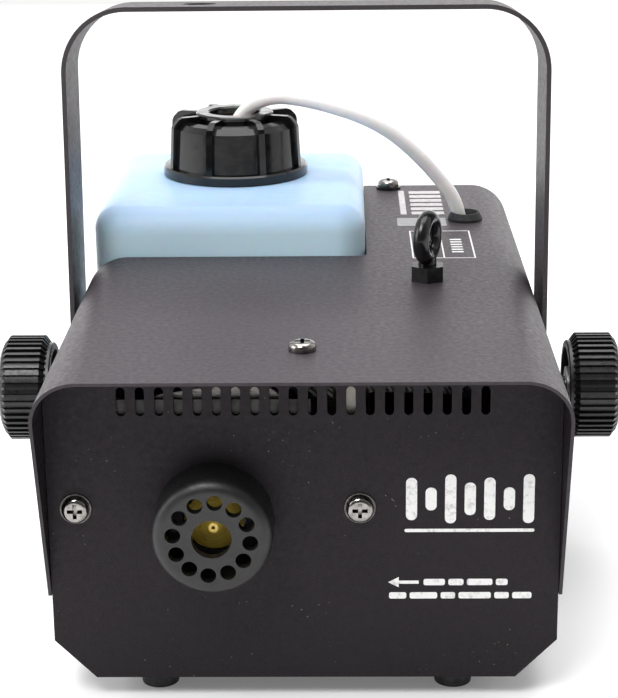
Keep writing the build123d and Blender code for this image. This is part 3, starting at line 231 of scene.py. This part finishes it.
def make_looks():
    looks = {key: plain_look(*row) for key, row in PLAIN_LOOKS.items()}
    looks["case"] = powder_coat(
        "case_powder_coat", (0.0050, 0.0046, 0.0050), (0.0085, 0.0076, 0.0084),
        (0.028, 0.026, 0.028), 0.22)
    # The cover's sides are painted darker than its top: the side colour is painted shade
    looks["cover"] = powder_coat(
        "cover_powder_coat", (0.021, 0.0165, 0.0200), (0.030, 0.0245, 0.0285),
        (0.075, 0.066, 0.073), 0.5, side=(0.006, 0.0055, 0.006))
    looks["strap"] = powder_coat(
        "bracket_powder_coat", (0.018, 0.0165, 0.017), (0.030, 0.027, 0.028),
        (0.060, 0.056, 0.056), 0.5)

    steel = Look("zinc_steel", Metallic=1.0)
    streak = steel.stretched((1, 1, 12), 140.0)
    steel.colour(steel.ramp(streak, (0.25, (0.36, 0.36, 0.35)), (0.75, (0.58, 0.58, 0.56))))
    steel.rough(steel.grey(steel.noise(300.0), 0.28, 0.48))
    steel.bump(streak, 0.15, 0.0001)
    looks["steel"] = steel.material

    stud = Look("turned_stud", Metallic=1.0)
    thread = stud.node("ShaderNodeTexWave", bands_direction="X", in_Scale=157.0, in_Distortion=0.0)
    stud.link(stud.where, thread.inputs["Vector"])
    stud.colour(stud.ramp(thread.outputs["Fac"],
                          (0.1, (0.10, 0.10, 0.10)), (0.8, (0.55, 0.55, 0.54))))
    stud.rough(stud.grey(stud.noise(900.0), 0.22, 0.4))
    stud.bump(thread.outputs["Fac"], 0.9, 0.0003)
    looks["stud"] = stud.material

    nickel = Look("nickel_screw", Metallic=1.0)
    plating = nickel.ramp(nickel.noise(700.0), (0.3, (0.20, 0.19, 0.18)), (0.7, (0.36, 0.35, 0.33)))
    # Painted shade: the plating is darkened in the cross recess and other hollows
    nickel.colour(nickel.painted_shade(plating, 0.02, 0.0012))
    nickel.rough(nickel.grey(nickel.noise(1500.0), 0.10, 0.22))
    nickel.bump(nickel.noise(2200.0), 0.12, 0.00005)
    looks["nickel"] = nickel.material

    moulded = Look("moulded_black", Roughness=0.45)
    plastic = moulded.ramp(moulded.noise(120.0),
                           (0.3, (0.0070, 0.0065, 0.0075)), (0.7, (0.0150, 0.0140, 0.0155)))
    # Painted shade: the plastic is darkened in hollows such as the knobs' rib valleys
    moulded.colour(moulded.painted_shade(plastic, 0.1, 0.002))
    moulded.rough(moulded.grey(moulded.noise(700.0), 0.26, 0.42))
    moulded.bump(moulded.noise(1300.0), 0.28, 0.00009)
    looks["moulded"] = moulded.material

    gloss = Look("cap_gloss_black", Roughness=0.2, IOR=1.5)
    gloss.colour(gloss.ramp(gloss.noise(80.0),
                            (0.3, (0.0035, 0.0035, 0.0038)), (0.7, (0.0075, 0.0072, 0.0072))))
    gloss.rough(gloss.grey(gloss.noise(260.0), 0.10, 0.24))
    gloss.bump(gloss.noise(190.0, 2.0), 0.16, 0.0003)
    looks["gloss"] = gloss.material

    brass = Look("turned_brass", Metallic=0.35, Specular_IOR_Level=0.8)
    rings = brass.stretched((1, 14, 1), 260.0)
    brass.colour(brass.ramp(rings, (0.3, (0.80, 0.52, 0.05)), (0.7, (0.98, 0.74, 0.16))))
    brass.rough(brass.grey(brass.noise(900.0), 0.25, 0.45))
    brass.bump(rings, 0.2, 0.0001)
    looks["brass"] = brass.material

    wool = Look("glass_wool", Roughness=0.9, Sheen_Weight=0.3)
    strands = wool.stretched((1, 6, 1), 420.0, 6.0)
    wool.colour(wool.ramp(strands, (0.25, (0.035, 0.035, 0.034)), (0.75, (0.16, 0.155, 0.145))))
    wool.bump(strands, 0.8, 0.0008)
    looks["wool"] = wool.material

    cloth = Look("pale_glass_cloth", Roughness=0.85, Sheen_Weight=0.2)
    warp = cloth.stretched((1, 1, 5), 500.0, 4.0)
    cloth.colour(cloth.ramp(warp, (0.25, (0.42, 0.40, 0.37)), (0.75, (0.74, 0.72, 0.69))))
    cloth.bump(warp, 0.5, 0.0004)
    looks["cloth"] = cloth.material

    tank = Look("tank_blue", Roughness=0.45, IOR=1.45, Specular_IOR_Level=0.2,
                Subsurface_Weight=0.3, Subsurface_Scale=0.01)
    clouds = tank.noise(16.0, 4.0)
    # Painted light: the wall, which is in shade, is painted paler, and the top, which is brightly
    # lit, is painted deeper blue
    height = tank.node("ShaderNodeSeparateXYZ")
    tank.link(tank.where, height.inputs[0])
    painted_light_fade = tank.grey(height.outputs["Z"], 0.0, 1.0, *TANK_PAINTED_LIGHT_FADE)
    shade = tank.mix(painted_light_fade, (0.70, 0.87, 1.0), (0.38, 0.54, 0.76))
    tank.colour(tank.mix(tank.grey(clouds, 0.0, 0.18), shade, (0.66, 0.84, 0.98)))
    tank.rough(tank.grey(tank.noise(240.0), 0.34, 0.5))
    tank.bump(tank.noise(110.0), 0.12, 0.0004)
    looks["tank"] = tank.material

    tape = Look("coil_tape", Roughness=0.4)
    winding = tape.stretched((1, 1, 30), 60.0)
    tape.colour(tape.ramp(winding, (0.3, (0.20, 0.10, 0.03)), (0.7, (0.42, 0.24, 0.08))))
    tape.bump(winding, 0.4, 0.0003)
    looks["tape"] = tape.material

    braid = Look("braided_sleeve", Roughness=0.7, Sheen_Weight=0.2)
    weave = braid.node("ShaderNodeTexWave", bands_direction="DIAGONAL",
                       in_Scale=330.0, in_Distortion=1.5)
    braid.link(braid.where, weave.inputs["Vector"])
    braid.colour(braid.ramp(weave.outputs["Fac"],
                            (0.35, (0.006, 0.006, 0.006)), (0.75, (0.24, 0.23, 0.22))))
    braid.bump(weave.outputs["Fac"], 0.6, 0.0003)
    looks["braid"] = braid.material

    board = Look("solder_mask", Roughness=0.35)
    board.colour(board.ramp(board.noise(140.0),
                            (0.3, (0.008, 0.075, 0.028)), (0.7, (0.014, 0.12, 0.045))))
    board.bump(board.cells(260.0), 0.2, 0.0002)
    looks["board"] = board.material

    ink = Look("white_print", Roughness=0.5)
    wear = ink.noise(700.0)
    ink.colour(ink.ramp(wear, (0.30, (0.55, 0.55, 0.54)), (0.48, (0.80, 0.80, 0.79))))
    ink.rough(ink.grey(wear, 0.4, 0.6))
    ink.bump(ink.noise(1500.0), 0.2, 0.00005)
    looks["ink"] = ink.material
    return looks


looks = make_looks()
FINISH = {
    "case": ("front_panel", "rear_panel", "base_pan"),
    "cover": ("cover",),
    "strap": ("bracket",),
    "dark_steel": ("heater_front_bracket",),
    "steel": ("heater_rear_bracket", "tank_tray", "pump_frame", "pump_bracket", "pump_plunger",
              "pump_spring", "knob_washer_left", "knob_washer_right", "rivet_nuts",
              "board_standoffs"),
    "stud": ("knob_stud_left", "knob_stud_right"),
    "nickel": ("front_panel_screws", "cover_top_screws", "cover_side_screws", "inlet_screws",
               "inlet_pins", "foot_screws", "remote_socket"),
    "enamel": ("cover_screw_washer", "eye_bolt", "eye_bolt_nuts"),
    "rubber": ("feet", "tube_grommet", "pump_mounts", "cap_seal", "bracket_washers"),
    "moulded": ("knob_left", "knob_right", "mains_inlet", "fuse_drawer", "switch_bezel"),
    "shroud": ("nozzle_shroud",),
    "gloss": ("tank_cap",),
    "red": ("switch_rocker",),
    "brass": ("nozzle", "heater_inlet_elbow"),
    "cast": ("heater_block",),
    "wool": ("heater_insulation",),
    "ceramic": ("control_thermostat", "thermal_cutout", "terminal_block"),
    "tank": ("tank",),
    "nylon": ("cap_bush", "pickup_filter", "pump_body"),
    "silicone": ("delivery_tube",),
    "tape": ("pump_coil",),
    "braid": ("heater_leads", "mains_loom"),
    "board": ("circuit_board",),
    "part": ("board_components",),
    "glass": ("fuse",),
}
for look, names in FINISH.items():
    for name in names:
        for slot in nodes[name].material_slots:
            slot.material = looks[look]


# ---------------------------------------------------------------- mesh tools
MM = 0.001
RIGHT, REAR, UP = (1, 0, 0), (0, 1, 0), (0, 0, 1)


def add_mesh(name, bm, look, body, smooth=False):
    mesh = bpy.data.meshes.new(name)
    bm.normal_update()
    bm.to_mesh(mesh)
    bm.free()
    for face in mesh.polygons:
        face.use_smooth = smooth
    mesh.materials.append(looks[look])
    piece = bpy.data.objects.new(name, mesh)
    bpy.context.collection.objects.link(piece)
    if body:
        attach(piece, body)
    return piece


def skin(bm, first, second):
    """Quads between two rings of as many vertices."""
    sides = len(first)
    for k in range(sides):
        bm.faces.new((first[k], first[(k + 1) % sides], second[(k + 1) % sides], second[k]))


def swept(bm, points, radius, sides=24):
    """Round rod along the points, with closed ends."""
    runs = [(b - a).normalized() for a, b in zip(points, points[1:])]
    tangents = [runs[0]] + [(a + b).normalized() for a, b in zip(runs, runs[1:])] + [runs[-1]]
    side = tangents[0].orthogonal().normalized()
    rings = []
    for point, tangent in zip(points, tangents):
        side = (side - tangent * side.dot(tangent)).normalized()
        across = tangent.cross(side)
        turns = [2 * pi * k / sides for k in range(sides)]
        spokes = [side * cos(turn) + across * sin(turn) for turn in turns]
        rings.append([bm.verts.new(point + spoke * radius) for spoke in spokes])
    for a, b in zip(rings, rings[1:]):
        skin(bm, a, b)
    bm.faces.new(list(reversed(rings[0])))
    bm.faces.new(rings[-1])


def plate(bm, corners, rise):
    """Thickens a flat outline by the vector rise."""
    face = bm.faces.new([bm.verts.new(corner) for corner in corners])
    lifted = bmesh.ops.extrude_face_region(bm, geom=[face])["geom"]
    verts = [part for part in lifted if isinstance(part, bmesh.types.BMVert)]
    bmesh.ops.translate(bm, vec=rise, verts=verts)


def rounded(x0, z0, x1, z1, radius, steps=6):
    """Outline of a rectangle with round corners, anticlockwise."""
    outline = []
    for cx, cz, start in ((x1 - radius, z1 - radius, 0), (x0 + radius, z1 - radius, 90),
                          (x0 + radius, z0 + radius, 180), (x1 - radius, z0 + radius, 270)):
        for k in range(steps + 1):
            turn = radians(start + 90 * k / steps)
            outline.append((cx + radius * cos(turn), cz + radius * sin(turn)))
    return outline


PRINT_THICK = 0.00006
PRINT_GAP = 0.00001   # keeps a print's underside clear of the painted face


def print_on(name, outlines, origin, right, up, look="ink"):
    """Thin raised print: outlines in millimetres on a surface that faces right cross up."""
    bm = bmesh.new()
    right, up = Vector(right), Vector(up)
    out = right.cross(up)
    for outline in outlines:
        corners = [Vector(origin) + (right * x + up * z) * MM for x, z in outline]
        plate(bm, corners, out * PRINT_THICK)
    bmesh.ops.recalc_face_normals(bm, faces=bm.faces)
    add_mesh(name, bm, look, "case")


def frame_outline(x0, z0, x1, z1, line):
    """Four thin bars round a rectangle."""
    corner = line * 0.3
    return [rounded(x0, z0, x1, z0 + line, corner), rounded(x0, z1 - line, x1, z1, corner),
            rounded(x0, z0 + line, x0 + line, z1 - line, corner),
            rounded(x1 - line, z0 + line, x1, z1 - line, corner)]


# ---------------------------------------------------------------- supply tube
TUBE_DIAMETER = 0.005
SUPPLY_ROUTE = [
    (0.0546, 0.0619, 0.0832), (0.0561, 0.0615, 0.1070), (0.0420, 0.0632, 0.1254),
    (0.0250, 0.0658, 0.1398), (0.0010, 0.0692, 0.1473), (-0.0160, 0.0719, 0.1489),
    (-0.0276, 0.0731, 0.1404), (-0.0312, 0.0732, 0.1210), (-0.0308, 0.0730, 0.1020),
    (-0.0300, 0.0730, 0.0830), (-0.0304, 0.0730, 0.0650),
]


def spline_points(route):
    """Points along the smooth spline that the route's points control."""
    curve = bpy.data.curves.new("supply_route", "CURVE")
    curve.dimensions = "3D"
    curve.resolution_u = 14
    spline = curve.splines.new("NURBS")
    spline.points.add(len(route) - 1)
    for point, place in zip(spline.points, route):
        point.co = (*place, 1.0)
    spline.order_u = 3
    spline.use_endpoint_u = True
    line = bpy.data.objects.new("supply_route", curve)
    bpy.context.collection.objects.link(line)
    bpy.context.view_layer.update()
    mesh = bpy.data.meshes.new_from_object(line)
    points = [vertex.co.copy() for vertex in mesh.vertices]
    bpy.data.objects.remove(line)
    bpy.data.curves.remove(curve)
    bpy.data.meshes.remove(mesh)
    return points


tube_path = spline_points(SUPPLY_ROUTE)
bm = bmesh.new()
swept(bm, tube_path, TUBE_DIAMETER / 2)
supply = add_mesh("supply_hose", bm, "silicone", None, smooth=True)
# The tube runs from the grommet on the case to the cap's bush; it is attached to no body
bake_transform(supply)
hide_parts("supply_tube")


# ---------------------------------------------------------------- printed marks
# Generic marks, in millimetres: upright bars over a line and an arrow with dashes on the front
# panel, and a box, a strip and a label on the cover's top
BAR_LEFT, BAR_PITCH, BAR_WIDTH = 29.4, 5.6, 3.2
BAR_HEIGHTS = ((56, 69), (59, 66), (55, 70), (57.5, 67.5), (56, 69), (59, 66), (55, 70))
ARROW = ((27.4, 35.0), (27.4, 36.1), (33.2, 36.1), (33.2, 37.1), (27.4, 37.1), (27.4, 38.2),
         (24.3, 36.6))
DASH_HEIGHT, DASH_CORNER = 2.0, 0.6
# Each row of dashes: its lower edge, and where each dash starts and how wide it is
DASH_ROWS = (
    (35.6, ((34.6, 6.2), (41.8, 4.4), (47.2, 7.4), (55.6, 3.4))),
    (31.4, ((24.6, 5.0), (30.6, 8.0), (39.6, 4.2), (44.8, 9.4), (55.2, 4.2), (60.4, 5.6))),
)

panel_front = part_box("front_panel")[0][1]
on_panel = ((0, panel_front - PRINT_GAP, 0), RIGHT, UP)
bars = []
for number, (low, high) in enumerate(BAR_HEIGHTS):
    left = BAR_LEFT + BAR_PITCH * number
    bars.append(rounded(left, low, left + BAR_WIDTH, high, 1.5))
bars.append(rounded(29.0, 52.3, 66.4, 53.3, 0.45))
print_on("panel_bars", bars, *on_panel)
dashes = [rounded(left, low, left + width, low + DASH_HEIGHT, DASH_CORNER)
          for low, row in DASH_ROWS for left, width in row]
print_on("panel_arrow", [ARROW] + dashes, *on_panel)

on_top = ((0, 0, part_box("cover")[1][2] + PRINT_GAP), RIGHT, REAR)
box_marks = [rounded(48.4, y, 52.4, y + 1.6, 0.5) for y in (14.0, 17.4, 20.8, 24.2, 27.6, 31.0)]
label_marks = [rounded(36.6, 69.5 + 6.8 * k, 48.5, 74.1 + 6.8 * k, 0.7) for k in range(6)]
divider = rounded(45.2, 7.4, 45.7, 43.6, 0.15)
print_on("top_box", frame_outline(34.8, 6.5, 56.0, 44.5, 0.5) + [divider] + box_marks, *on_top)
print_on("top_strip", [rounded(31.0, 52.0, 48.5, 64.0, 0.6)], *on_top, look="foil")
print_on("top_label", [rounded(32.6, 69.5, 34.8, 109.0, 0.5)] + label_marks, *on_top, look="silver")


# ---------------------------------------------------------------- small pieces at the front panel
HEAD_RADIUS = 0.004
FLANGE_INNER, FLANGE_OUTER, FLANGE_THICK = 0.00405, 0.00475, 0.0004
FLANGE_SLOPE = 0.0002
FLANGE_GAP = 0.00002
CLOTH_THICK, CLOTH_GAP = 0.0012, 0.0005
CLOTH_EDGE = ((-44, 92.0), (-40.6, 93.4), (-35.2, 94.2), (-29.7, 95.1), (-24.3, 96.1),
              (-18.9, 96.5), (-13.4, 96.2), (-10, 95.5), (-8, 94.3), (-5.5, 92.0), (-5.5, 90.5),
              (-44, 90.5))


def flange(bm, centre, sides=48):
    """Flat ring in the XZ plane, rising toward the front, with a sloped rim."""
    loops = []
    for radius, rise in ((FLANGE_INNER, 0.0), (FLANGE_OUTER, 0.0),
                         (FLANGE_OUTER - FLANGE_SLOPE, FLANGE_THICK), (FLANGE_INNER, FLANGE_THICK)):
        turns = [2 * pi * k / sides for k in range(sides)]
        loops.append([bm.verts.new(centre + Vector((radius * cos(turn), -rise, radius * sin(turn))))
                      for turn in turns])
    for a, b in zip(loops, loops[1:] + loops[:1]):
        skin(bm, a, b)
    bmesh.ops.recalc_face_normals(bm, faces=bm.faces)


screw_low, screw_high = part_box("front_panel_screws")
screw_height = (screw_low[2] + screw_high[2]) / 2
for side, x in (("left", screw_low[0] + HEAD_RADIUS), ("right", screw_high[0] - HEAD_RADIUS)):
    bm = bmesh.new()
    flange(bm, Vector((x, panel_front - FLANGE_GAP, screw_height)))
    add_mesh("screw_flange_" + side, bm, "flange", "case")

# Loose edge of the heater's cloth wrap, above the bracket behind the slots
cloth_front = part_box("heater_front_bracket")[1][1] + CLOTH_GAP
bm = bmesh.new()
plate(bm, [(x * MM, cloth_front, z * MM) for x, z in CLOTH_EDGE], (0, CLOTH_THICK, 0))
bmesh.ops.recalc_face_normals(bm, faces=bm.faces)
add_mesh("insulation_edge", bm, "cloth", "case")


# ---------------------------------------------------------------- floor, light and camera
FLOOR_SIZE, FLOOR_LEVEL, FLOOR_GLOW = 6.0, -0.0003, 0.15
# Each light: name, place, target, size, watts
LIGHTS = (
    ("key", (-0.35, -0.75, 1.15), (0, 0, 0.08), (0.6, 0.5), 11),
    ("left", (-1.2, -0.25, 0.55), (0, 0.05, 0.10), (0.8, 0.8), 7),
    ("top", (0.0, 0.15, 1.2), (0, 0, 0.08), (1.1, 1.1), 13),
    ("back", (0.0, 1.5, 0.25), (0, 0, 0.15), (1.8, 0.4), 2.5),
)
# The camera solved from the photo: degrees, metres, and millimetres for the lens and sensor
CAMERA_YAW, CAMERA_PITCH, CAMERA_ROLL = -1.159, 17.282, -0.63
CAMERA_PLACE = (0.012604, -0.62527, 0.27004)
CAMERA_LENS, CAMERA_SENSOR = 100.57, 36


def make_floor():
    bpy.ops.mesh.primitive_plane_add(size=FLOOR_SIZE, location=(0, 0, FLOOR_LEVEL))
    floor = bpy.context.object
    floor.name = "floor"
    paper = Look("floor_paper", Roughness=0.7)
    paper.colour(paper.ramp(paper.noise(3.0), (0.3, (0.86, 0.86, 0.86)), (0.7, (0.89, 0.89, 0.89))))
    paper.shader.inputs["Emission Color"].default_value = (1, 1, 1, 1)
    paper.shader.inputs["Emission Strength"].default_value = FLOOR_GLOW
    floor.data.materials.append(paper.material)


def make_world():
    """White behind the object, as a studio's backdrop is, and dimmer where the camera stands."""
    world = bpy.data.worlds.new("studio")
    bpy.context.scene.world = world
    world.use_nodes = True
    tree = world.node_tree
    where = tree.nodes.new("ShaderNodeTexCoord")
    split = tree.nodes.new("ShaderNodeSeparateXYZ")
    ramp = tree.nodes.new("ShaderNodeMapRange")
    for socket, value in (("From Min", -0.75), ("From Max", 0.45),
                          ("To Min", 0.14), ("To Max", 1.0)):
        ramp.inputs[socket].default_value = value
    tree.links.new(where.outputs["Generated"], split.inputs[0])
    tree.links.new(split.outputs["Y"], ramp.inputs["Value"])
    tree.links.new(ramp.outputs["Result"], tree.nodes["Background"].inputs["Strength"])
    tree.nodes["Background"].inputs["Color"].default_value = (1, 1, 1, 1)


def soft_box(name, place, target, size, power):
    light = bpy.data.lights.new(name, "AREA")
    light.shape = "RECTANGLE"
    light.size, light.size_y = size
    light.energy = power
    lamp = bpy.data.objects.new(name, light)
    bpy.context.collection.objects.link(lamp)
    lamp.location = place
    lamp.visible_camera = False
    lamp.rotation_euler = (Vector(target) - Vector(place)).to_track_quat("-Z", "Y").to_euler()


def make_camera():
    yaw, pitch, roll = radians(CAMERA_YAW), radians(CAMERA_PITCH), radians(CAMERA_ROLL)
    forward = Vector((sin(yaw) * cos(pitch), cos(yaw) * cos(pitch), -sin(pitch)))
    right = Vector((cos(yaw), -sin(yaw), 0))
    up = right.cross(forward)
    turned = right * cos(roll) + up * sin(roll)
    raised = up * cos(roll) - right * sin(roll)
    camera = bpy.data.cameras.new("camera")
    camera.sensor_width = CAMERA_SENSOR
    camera.lens = CAMERA_LENS
    camera.clip_start = 0.01
    holder = bpy.data.objects.new("camera", camera)
    bpy.context.collection.objects.link(holder)
    turn = Matrix((turned, raised, -forward)).transposed().to_4x4()
    holder.matrix_world = Matrix.Translation(CAMERA_PLACE) @ turn
    bpy.context.scene.camera = holder


make_floor()
make_world()
for row in LIGHTS:
    soft_box(*row)
bpy.context.scene.view_settings.view_transform = "Standard"
make_camera()
